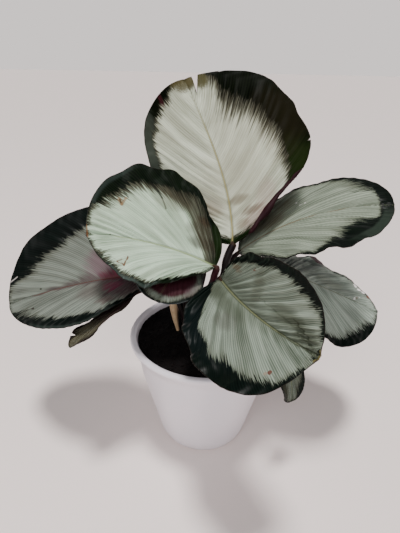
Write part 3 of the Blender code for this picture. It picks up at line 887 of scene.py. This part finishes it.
def tear(piece, leaf, side, wedges):
    """Cut the wedges of a leaf's tears into its blade."""
    cutters = []
    for wedge in wedges:
        spots = np.array(wedge, float)
        tip, first, second = blade_face(leaf, spots[:, 0], spots[:, 1], side)
        first = tip + (first - tip) * TEAR_REACH
        second = tip + (second - tip) * TEAR_REACH
        normal = np.cross(first - tip, second - tip)
        normal = normal / np.linalg.norm(normal) * TEAR_HALF_HEIGHT
        points = [corner + way for way in (-normal, normal) for corner in (tip, first, second)]
        mesh = bpy.data.meshes.new("cutter")
        mesh.from_pydata([tuple(point) for point in points], [],
                         [(0, 2, 1), (3, 4, 5), (0, 1, 4, 3), (1, 2, 5, 4), (2, 0, 3, 5)])
        cutters.append(put("cutter", mesh))
        cut = piece.modifiers.new("cut", "BOOLEAN")
        cut.operation = "DIFFERENCE"
        cut.solver = "EXACT"
        cut.object = cutters[-1]
    graph = bpy.context.evaluated_depsgraph_get()
    torn = bpy.data.meshes.new_from_object(piece.evaluated_get(graph))
    piece.modifiers.clear()
    piece.data = torn
    for cutter in cutters:
        bpy.data.objects.remove(cutter, do_unlink=True)


def grow(leaf, look, rows, columns):
    """Make a leaf's blade, paint both its faces and put it on show."""
    name = leaf["name"]
    mesh = blade_mesh(leaf, look, rows, columns)
    finishes = [upper_finish(leaf, look), under_finish(leaf)]
    blade = show(name + "_leaf", mesh, finishes, name + "_green", name + "_blade")
    if name in TEARS:
        tear(blade, leaf, *TEARS[name])


# What sets each leaf apart, lengths in mm. Dark widths are the dark margin's least along the
# sides, at the tip, and at the base on the left and the right. Fringe widths are (share along,
# width). The darker of the two silvers is painted shade on the pleat bands. Flushes tint the
# silver, greens the dark margin and marks all of it: an oval (along, across, half length, half
# width), its colour and strength. Some flushes are painted shade in folds and creases, two are a
# painted shadow of a neighbouring leaf, and some greens are a painted sheen where a margin catches
# the light. A green ends with how far in from the edge it reaches; a mark may have the blur of
# its edge before its colour. A scratch is two ends (along, across) and a width; some are painted
# shade along creases, and one is a painted highlight on a margin.
LOOKS = {
    "back": dict(
        silver=(0.64, 0.69, 0.56), shaded_silver=(0.36, 0.385, 0.3), stripe=(0.17, 0.18, 0.11),
        rib=(0.24, 0.21, 0.085), seed=0, dark_widths=(2.2, 2.2, 3.4, 3.4), fringe=DARK_OLIVE,
        fringe_share=0.92, fringe_edge=0.75, streak_share=0.9,
        fringe_widths=[(0, 3), (0.2, 6), (0.33, 11), (0.5, 15), (0.75, 19), (0.9, 14)],
        rib_fade=0.62, lines=0.38, glints=0.32, hairs=0.5, dark=(0.0006, 0.0009, 0.0003),
        dark_green=(0.0034, 0.0058, 0.0018), shine=0.03, rough=0.48,
        # Flushes at (50, 2), (17, -9), (26, -19) and (40, -9) are painted shade over the base and
        # in the creases near it.
        flushes_and_painted_shade=[(30, -33, 20, 9, PINK, 0.32), (15, -22, 14, 12, PINK, 0.5),
        (17, -9, 6, 6, (0.13, 0.085, 0.05), 0.55), (50, 2, 34, 34, (0.28, 0.27, 0.2), 0.4),
        (90, -22, 45, 22, (0.36, 0.36, 0.28), 0.45), (26, -19, 4, 9, (0.13, 0.095, 0.065), 0.65),
        (40, -9, 4, 9, (0.13, 0.1, 0.065), 0.6), (38, 16, 10, 10, (0.19, 0.15, 0.11), 0.55),
        (90, -50, 30, 10, (0.16, 0.12, 0.08), 0.3)],
        # The green at (106, 56) is a painted sheen on the left margin.
        greens_and_painted_sheens=[(42, -59, 34, 21, (0.0135, 0.024, 0.0055), 0.65, 99),
        (0, 0, 22, 30, (0.0065, 0.016, 0.0035), 0.8, 99),
        (95, -64, 34, 18, (0.013, 0.0105, 0.0052), 0.6, 99),
        (106, 56, 50, 13, (0.05, 0.06, 0.048), 0.8, 99)],
        marks=[(162, 4, 8.5, 12.5, 0.75, (0.078, 0.068, 0.03), 0.88),
        (159, -13.5, 8.5, 6, 0.75, (0.076, 0.072, 0.032), 0.8), (150, 32, 6.5, 2.2, CRIMSON, 0.35),
        (1, 0, 1.8, 1.4, (0.22, 0.08, 0.05), 0.8)]),
    "left_upper": dict(
        silver=(0.575, 0.73, 0.57), shaded_silver=(0.36, 0.46, 0.345), stripe=(0.17, 0.24, 0.155),
        rib=(0.25, 0.31, 0.16), seed=20, dark_widths=(0.7, 0.5, 0, 3.2),
        fringe=(0.04, 0.031, 0.018), fringe_share=0.93, fringe_edge=0.65, streak_share=0.9,
        # Its wide fringe on the right is partly the olive-brown band and partly painted shade of
        # the fold beside the margin.
        fringe_widths=[(0, 3), (0.05, 9), (0.11, 26), (0.17, 34), (0.25, 36), (0.31, 25),
        (0.38, 12), (0.5, 5), (1, 2.5)], lines=0.34, glints=0.25, hairs=0.5,
        dark_green=(0.007, 0.015, 0.006),
        # The first three flushes are painted shade in the crease and fold that run to the right
        # margin.
        flushes_and_painted_shade=[(17, -13, 11, 5, (0.05, 0.04, 0.032), 0.75),
        (24, -22, 9, 6, (0.08, 0.07, 0.052), 0.6), (48, -38, 12, 7, (0.14, 0.14, 0.095), 0.5),
        (20, -31, 7, 3.5, (0.22, 0.11, 0.065), 0.8)],
        # The first two greens are a painted sheen along the margin.
        greens_and_painted_sheens=[(90, -40, 26, 20, (0.026, 0.038, 0.033), 0.8, 2.8),
        (75, 42, 34, 12, (0.055, 0.075, 0.068), 0.75, 3),
        (6, -14, 16, 16, (0.009, 0.019, 0.005), 0.8, 99)],
        marks=[(104.7, -1, 0.9, 6, (0.2, 0.095, 0.04), 0.8),
        (87.1, -0.5, 0.7, 0.7, DARK_OLIVE, 0.6), (98.9, 18.7, 1, 0.8, DARK_OLIVE, 0.6)],
        scratches_and_painted_light=[(82.9, 28.8, 76.1, 31.6, 0.6, RUST, 0.75),
        (76.1, 31.6, 72.9, 23.4, 0.7, RUST, 0.85), (82.9, 28.8, 78.2, 26.2, 0.5, RUST, 0.55),
        (82.6, -30.2, 80.5, -26.5, 1.2, (0.26, 0.16, 0.085), 0.7),
        (80.5, -26.5, 78.2, -31.6, 0.9, (0.24, 0.14, 0.07), 0.7),
        (82.2, -30, 81.2, -27.5, 0.5, (0.05, 0.03, 0.015), 0.8),
        # The three lines from (63.7, -48.2) to (50.3, -30) are painted shade along a crease.
        (63.7, -48.2, 58.2, -42.7, 0.6, (0.008, 0.009, 0.006), 0.85),
        (58.2, -42.7, 54.5, -37.7, 0.6, (0.008, 0.009, 0.006), 0.85),
        (54.5, -37.7, 50.3, -30, 0.5, (0.05, 0.045, 0.03), 0.7),
        (80, -36.2, 76.8, -32.6, 0.5, (0.02, 0.022, 0.018), 0.7)]),
    "left_lower": dict(
        silver=(0.175, 0.2, 0.17), shaded_silver=(0.1, 0.112, 0.095), stripe=(0.06, 0.07, 0.058), lines=0.3,
        glints=0.12, rib=(0.085, 0.01, 0.018), seed=40, dark_widths=(0.7, 0.5), rib_width=0.32,
        heart=(0.06, 0.036, 0.04), heart_share=0.7, heart_reach=0.26,
        dark_green=(0.003, 0.007, 0.0052),
        flushes_and_painted_shade=[(48, -16, 16, 13, (0.14, 0.07, 0.095), 0.6),
        (49.4, 15, 18, 11, (0.08, 0.062, 0.058), 0.65),
        (22, 14, 18, 16, (0.046, 0.019, 0.026), 0.85), (36.9, 12, 9, 6, (0.13, 0.022, 0.05), 0.6),
        (36, -3, 14, 6, (0.11, 0.02, 0.036), 0.8), (38, 30.3, 9, 4, (0.1, 0.045, 0.05), 0.5)],
        # This green is a painted sheen along the margin.
        greens_and_painted_sheens=[(75, 48, 50, 14, (0.03, 0.042, 0.036), 0.55, 2.5)],
        marks=[(105.2, -4.1, 0.9, 0.7, (0.02, 0.02, 0.01), 0.8),
        (109.6, 17.4, 1.3, 0.9, (0.02, 0.015, 0.01), 0.9)],
        # This pale line is a painted highlight on the margin near the tip.
        scratches_and_painted_light=[(130.5, -18.5, 123.5, -21.5, 0.5, (0.4, 0.38, 0.36), 0.8)]),
    "right_upper": dict(
        silver=(0.255, 0.3, 0.232), shaded_silver=(0.125, 0.152, 0.11), stripe=(0.07, 0.092, 0.06),
        rib=(0.15, 0.09, 0.048), seed=60, dark_widths=(1, 11.5), rib_width=0.5,
        dark_green=(0.005, 0.01, 0.006), hairs=0.5,
        # The first two flushes are a painted shadow of the back leaf.
        flushes_and_painted_shade=[(31.1, 15.4, 15, 11, (0.085, 0.07, 0.043), 0.7),
        (47.5, 30.2, 9, 9, (0.09, 0.082, 0.055), 0.65),
        (96.3, 33, 7, 5, (0.075, 0.085, 0.06), 0.55)],
        # This green is a painted sheen on the dark tip.
        greens_and_painted_sheens=[(106, -25, 24, 22, (0.026, 0.038, 0.028), 0.75, 7)],
        marks=[(59, 22.1, 1.3, 0.9, BARE_FLECK, 0.9), (56, 25.5, 1, 0.7, BARE_FLECK, 0.7),
        (62.5, 20, 0.6, 1.2, BARE_FLECK, 0.8)]),
    "right_lower": dict(
        silver=(0.375, 0.44, 0.38), shaded_silver=(0.19, 0.23, 0.196), stripe=(0.105, 0.135, 0.105),
        rib=(0.17, 0.17, 0.1), seed=80, dark_widths=(0.9, 0.9), rib_width=0.4,
        flushes_and_painted_shade=[(48.3, 29.4, 14, 6, (0.05, 0.068, 0.056), 0.65),
        (59.4, 39, 10, 5, (0.04, 0.055, 0.045), 0.65), (70, 12, 14, 10, (0.15, 0.16, 0.12), 0.4),
        (34, 19, 22, 9, (0.038, 0.052, 0.044), 0.62), (56, 42, 14, 6, (0.034, 0.046, 0.04), 0.62)],
        marks=[(97.4, 27.5, 2.1, 2.6, BARE_FLECK, 1), (101, 24, 2, 1.8, BARE_FLECK, 1),
        (104.5, 22.5, 1.8, 1.9, BARE_FLECK, 1), (96.6, 9.3, 2.1, 1.6, BARE_FLECK, 1),
        (92.3, 3.5, 1.3, 1.6, BARE_FLECK, 0.9), (99, 11, 0.8, 0.8, RUST, 0.7),
        (94.5, 6, 0.9, 0.8, RUST, 0.6), (108.5, 17.5, 1.6, 2, RUST, 0.85),
        (64, 48, 6, 5, (0.03, 0.005, 0.012), 0.85), (8, 6, 6, 5, (0.06, 0.01, 0.02), 0.7)]),
    "front": dict(
        silver=(0.24, 0.29, 0.235), shaded_silver=(0.098, 0.122, 0.092), stripe=(0.046, 0.066, 0.046),
        rib=(0.135, 0.145, 0.072), rib_fade=0.6, seed=100, dark_widths=(0.9, 2.2), rib_width=0.48,
        heart=(0.06, 0.07, 0.046), heart_share=0.45, heart_reach=0.42, rib_shadow_share=0.8,
        rib_shadow=(0.03, 0.035, 0.015),
        # Flushes at (80, 11), (48, 18) and (99, 6) are painted shade in the folds and crinkles, and
        # those at (10, -8) and (30, -10) painted shade beside the midrib near the base.
        flushes_and_painted_shade=[(80, 11, 14, 6, (0.05, 0.054, 0.034), 0.6),
        (48, 18, 6, 12, (0.075, 0.08, 0.054), 0.55), (99, 6, 10, 7, (0.04, 0.044, 0.026), 0.7),
        (10, -8, 10, 6, (0.048, 0.058, 0.036), 0.7), (30, -10, 20, 5, (0.065, 0.076, 0.052), 0.55),
        (45, -18, 10, 6, (0.075, 0.074, 0.062), 0.55),
        (16.1, 17.7, 7, 2.5, (0.15, 0.085, 0.045), 0.45)],
        # This green is a painted sheen on the dark margin.
        greens_and_painted_sheens=[(42, -33.9, 34, 14, (0.004, 0.0075, 0.008), 0.7, 99)],
        marks=[(39.8, 26.2, 1.2, 1, RUST, 0.8), (98.2, -24.4, 1.2, 1.3, (0.1, 0.02, 0.012), 0.85),
        (96.5, -26.2, 1, 1, (0.26, 0.18, 0.13), 0.6),
        (25.6, -23.7, 0.9, 0.8, (0.01, 0.01, 0.008), 0.9)],
        # The first three scratches darken creases as painted shade; the first is also the greener
        # line of a vein.
        scratches_and_painted_light=[(52, 12, 98.2, 7.2, 0.4, (0.035, 0.046, 0.026), 0.3),
        (88, 12, 103, 5, 0.6, (0.022, 0.026, 0.014), 0.6),
        (93, 6, 106, 2, 0.6, (0.022, 0.026, 0.014), 0.5),
        (110.9, -4, 110.9, 3, 0.8, (0.14, 0.12, 0.045), 0.8)]),
}
for leaf in LEAVES[:6]:
    grow(leaf, LOOKS[leaf["name"]], rows=170, columns=50)

# --- Small leaf blades -------------------------------------------------------------------
# Three young or old leaves low in the plant: one with a wine-red heart and a pale green band,
# one drying to olive brown, and one grey-green and folded. They grew as the large ones did.
SMALL_LOOKS = {
    "inner_small": dict(
        silver=(0.15, 0.185, 0.15), shaded_silver=(0.1, 0.118, 0.098), stripe=(0.05, 0.056, 0.05),
        rib=(0.045, 0.009, 0.016), seed=120, dark_widths=(1.4, 1.4), heart=(0.034, 0.0055, 0.011),
        heart_share=0.97, heart_gap=(4.5, 8), rib_width=0.4, feather=0.6, fray=1.6,
        rim=(0.06, 0.07, 0.07),
        flushes_and_painted_shade=[(42, 19, 16, 4, (0.11, 0.075, 0.08), 0.6)]),
    "left_small": dict(
        silver=(0.066, 0.056, 0.028), shaded_silver=(0.036, 0.03, 0.015), stripe=(0.018, 0.016, 0.009),
        rib=(0.065, 0.05, 0.024), seed=140, dark_widths=(0.6, 0.6), rib_width=0.4, feather=2,
        fray=2, dark=(0.006, 0.003, 0.004), dark_green=(0.014, 0.007, 0.008),
        flushes_and_painted_shade=[(13, 0, 26, 20, (0.014, 0.004, 0.007), 0.92)]),
    "right_small": dict(
        silver=(0.115, 0.14, 0.115), shaded_silver=(0.06, 0.076, 0.06), stripe=(0.032, 0.044, 0.032),
        rib=(0.1, 0.11, 0.065), seed=160, dark_widths=(0.8, 0.8), rib_width=0.4, feather=2, fray=2,
        flushes_and_painted_shade=[(30, -10, 22, 4.5, (0.006, 0.009, 0.0065), 0.92)]),
}
for leaf in LEAVES[6:]:
    grow(leaf, SMALL_LOOKS[leaf["name"]], rows=110, columns=28)

# --- Stalks ------------------------------------------------------------------------------
# Nine slim leaf stalks, near-black purple and slightly ridged, rising from the soil. Each
# thickens into a short joint just below its blade and runs on into the blade's midrib.
JOINT_LENGTH = 0.009
JOINT_LENGTHS = {"back": 0.022, "left_upper": 0.013}
JOINT_RED = (0.0085, 0.0018, 0.0028)
JOINT_REDS = {"back": (0.004, 0.0014, 0.0018), "left_upper": (0.034, 0.0045, 0.010)}
STALK_LIFT = 0.0004
STALK_CLEAR = 0.0006
STALK_SUNK = 0.0015
RIB_THICKNESS = 0.0024
STALK_ROWS = 90
STALK_TURNS = 24
STALK_RIDGES = 8


def stalk_path(leaf):
    """The stalk's middle line, its thickness, and at each point the way from the joint's end."""
    place, forward, _, up = midrib(leaf)
    rib = RIB_THICKNESS * (0.6 if leaf["length"] < SMALL_LENGTH else 1.0)
    tilt = math.hypot(*leaf["lean"])
    foot_radius, top_radius = leaf["stalk"]
    start = np.array([*leaf["foot"], SOIL_TOP + STALK_LIFT + foot_radius * tilt])
    end = place[0] - forward[0] * STALK_CLEAR - up[0] * rib * 0.45
    rising = start + np.array([*leaf["lean"], 1.0]) * leaf["climb"]
    arriving = end - forward[0] * leaf["arrive"] + leaf["swerve"]
    share = 1 - (1 - np.linspace(0, 1, STALK_ROWS)[:, None]) ** 1.3
    back = 1 - share
    path = (start * back ** 3 + rising * (3 * back ** 2 * share)
            + arriving * (3 * back * share ** 2) + end * share ** 3)
    lead_in = start - (rising - start) / np.linalg.norm(rising - start) * STALK_SUNK
    lead_out = [end + forward[0] * reach - up[0] * drop
                for reach, drop in ((0.0012, 0.0), (0.0030, 0.0001), (0.0050, 0.0002))]
    path = np.vstack([lead_in, path, lead_out])
    share = np.concatenate([[0.0], share[:, 0], [1.0, 1.0, 1.0]])
    run = np.concatenate([[0.0], np.cumsum(np.linalg.norm(np.diff(path, axis=0), axis=1))])
    from_top = np.maximum(run[-4] - run, 0)
    radius = foot_radius + (top_radius - foot_radius) * share
    joint_length = JOINT_LENGTHS.get(leaf["name"], JOINT_LENGTH)
    joint = ease(from_top, joint_length, joint_length * 0.55)
    radius = radius + (leaf["joint"] - radius) * joint * (1 - 0.12 * ease(from_top, 0.002, 0.0))
    radius[-3:] *= (0.80, 0.50, 0.18)
    radius[0] *= 1.15
    return path, radius, joint, joint_length, run


def woven(name, lines, closed):
    """A sheet woven across lines of points. A closed one is a tube with capped ends."""
    sheet = bmesh.new()
    lines = [[sheet.verts.new(point) for point in line] for line in lines]
    for low, high in zip(lines, lines[1:]):
        for i in range(len(low) if closed else len(low) - 1):
            after = (i + 1) % len(low)
            sheet.faces.new((low[i], low[after], high[after], high[i]))
    if closed:
        sheet.faces.new(lines[0][::-1])
        sheet.faces.new(lines[-1])
    return mesh_of(name, sheet)


def stalk_mesh(name, path, radius, joint, run):
    """A ridged tube round the stalk's middle line, with a chart of the way along and round."""
    rings = []
    aside = np.array([1.0, 0.0, 0.0])
    for i in range(len(path)):
        way = path[min(i + 1, len(path) - 1)] - path[max(i - 1, 0)]
        way = way / np.linalg.norm(way)
        aside = aside - way * aside.dot(way)
        aside = aside / np.linalg.norm(aside)
        over = np.cross(way, aside)
        knob = 1 + 0.03 * joint[i] * math.sin(run[i] * 5200)
        ring = []
        for turn in range(STALK_TURNS):
            angle = math.tau * turn / STALK_TURNS
            ridge = 1 + 0.025 * math.cos(STALK_RIDGES * angle) * (1 - joint[i])
            spoke = aside * math.cos(angle) + over * math.sin(angle)
            ring.append(path[i] + spoke * radius[i] * ridge * knob)
        rings.append(ring)
    mesh = woven(name, rings, closed=True)
    draw_chart(mesh, "run", [(way - run[-4], turn / STALK_TURNS)
                             for way in run for turn in range(STALK_TURNS)])
    return mesh


for leaf in LEAVES:
    name = leaf["name"]
    path, radius, joint, joint_length, run = stalk_path(leaf)
    finish = new_finish(name + "_purple")
    way, round_it = chart_of(finish, "run").split()
    cloud = grain(position(finish), 130.0, 1.0, 3.0)
    streak = strands(way, round_it, 60, 9, 3.0, 2.0)
    purple = (streak * 0.6 + cloud * 0.4).ramp((0.30, (0.0015, 0.0006, 0.0009)),
                                               (0.70, (0.0065, 0.0020, 0.0028)))
    near_top = way.rise(-joint_length * 1.15, -joint_length * 0.7)
    purple = purple.tinted(JOINT_REDS.get(name, JOINT_RED), near_top * 0.75)
    purple = purple.tinted((0.040, 0.022, 0.011), way.rise(-0.0012, 0.0005) * 0.6)
    paint(finish, {
        "Base Color": purple.tinted((0.022, 0.015, 0.010), cloud.rise(0.66, 0.74) * 0.35),
        "Roughness": streak * 0.2 + near_top * 0.12 + 0.30,
        "Normal": (streak + cloud * 0.5).bump(0.35, 0.0003),
        "Specular IOR Level": 0.15,
    })
    mesh = stalk_mesh(name + "_stalk_tube", path, radius, joint, run)
    show(name + "_leaf_stalk", mesh, [finish], name + "_purple", name + "_stalk")

# --- Dry sheath --------------------------------------------------------------------------
# The papery tan remains of an old leaf's sheath, half curled round the stalks' foot, with
# brown fibres running up it and a thin torn top.
SHEATH_FOOT = np.array([-0.0236, 0.0032, SOIL_TOP - 0.0010])
SHEATH_TOP = np.array([-0.0275, 0.0050, 0.1300])
SHEATH_WIDTH = 0.0080
SHEATH_THICKNESS = 0.0004
SHEATH_BOW = 0.0008
SHEATH_CURL = 84
SHEATH_ROWS = 80
SHEATH_COLUMNS = 28
lines = []
chart = []
for row in range(SHEATH_ROWS + 1):
    share = row / SHEATH_ROWS
    line = []
    for column in range(SHEATH_COLUMNS + 1):
        across = 2 * column / SHEATH_COLUMNS - 1
        torn = 0.0022 * noise.noise(Vector((across * 3.1, 4.0, 0.0))) - 0.0030 * across ** 2
        height = share + torn * share ** 3 / (SHEATH_TOP[2] - SHEATH_FOOT[2]) * 2
        centre = SHEATH_FOOT + (SHEATH_TOP - SHEATH_FOOT) * height
        centre[0] -= SHEATH_BOW * math.sin(math.pi * share)
        width = SHEATH_WIDTH * (0.28 + 0.80 * share) * (1 - 0.12 * share ** 6)
        turn = math.radians(SHEATH_CURL * across * (1 + 0.12 * math.sin(7 * share + 1)))
        fold = noise.noise(Vector((across * 2, share * 7, 2.0)))
        fold = 1 + 0.05 * math.sin(19 * across) + 0.04 * fold
        offset = np.array([math.sin(turn), 1 - math.cos(turn), 0.0]) * width * 0.5 * fold
        line.append(centre + offset)
        chart.append((across, share))
    lines.append(line)
sheath_mesh = woven("sheath_strip", lines, closed=False)
draw_chart(sheath_mesh, "fibre", chart)
sheath_tan = new_finish("sheath_tan")
across, share = chart_of(sheath_tan, "fibre").split()
fibre = strands(across, share, 14, 2.2, 1.0, 4.0, 0.6)
cloud = grain(position(sheath_tan), 180.0, 2.0, 3.0)
tan = (fibre * 0.7 + cloud * 0.3).ramp((0.28, (0.13, 0.075, 0.036)), (0.50, (0.47, 0.33, 0.19)),
                                       (0.72, (0.66, 0.53, 0.36)))
stained = cloud.rise(0.62, 0.72) * 0.5 + share.rise(0.93, 1.0) * 0.6
tan = tan.tinted((0.05, 0.022, 0.012), stained)
paint(sheath_tan, {
    # One long side of the strip is painted darker brown: painted shade on the side turned from the
    # light.
    "Base Color": tan.tinted((0.055, 0.026, 0.018), across.rise(0.15, 0.75) * 0.75),
    "Roughness": fibre * 0.25 + 0.45,
    "Normal": fibre.bump(0.6, 0.0004),
})
sheath = show("sheath_strip", sheath_mesh, [sheath_tan], "sheath_tan", "sheath")
skin = sheath.modifiers.new("skin", "SOLIDIFY")
skin.thickness = SHEATH_THICKNESS
skin.offset = 0.0
